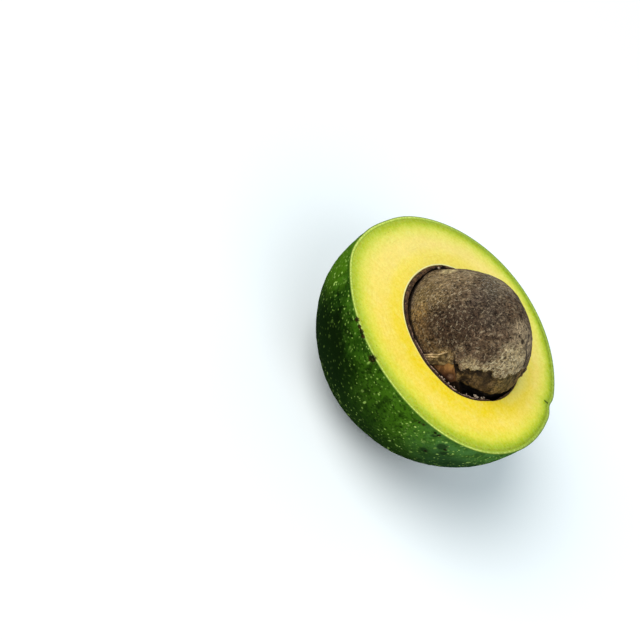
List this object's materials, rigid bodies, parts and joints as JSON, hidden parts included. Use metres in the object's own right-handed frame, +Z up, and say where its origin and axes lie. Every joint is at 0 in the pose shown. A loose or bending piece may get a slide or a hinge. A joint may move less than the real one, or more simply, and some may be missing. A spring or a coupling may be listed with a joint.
{
  "type": "avocado half with seed",
  "caption": "Half of a round green-skinned avocado, cut flat across, with pale yellow flesh and its round brown seed still in place.",
  "frame": {"origin": "middle of the object's footprint, on the surface that the flat spot under the fruit rests on", "axes": "+Z straight up out of the cut face, +X towards the stem end of the fruit, -X towards its blossom end"},
  "size_m": [0.1006, 0.1001, 0.0752],
  "materials": {
    "flesh": "moist cut flesh, egg yellow by the seed, pale yellow in the middle and lime green under the skin",
    "skin": "thin glossy green skin, softly pebbled, with yellow-green dots and a few brown scars",
    "seed_coat": "dry brown papery lining of the cavity, with a torn edge",
    "seed": "dry fibrous brown seed with grey, tan and dark patches"
  },
  "bodies": {
    "root": {"fruit_half": "flesh", "seed_coat": "seed_coat", "seed": "seed"}
  },
  "joints": []
}
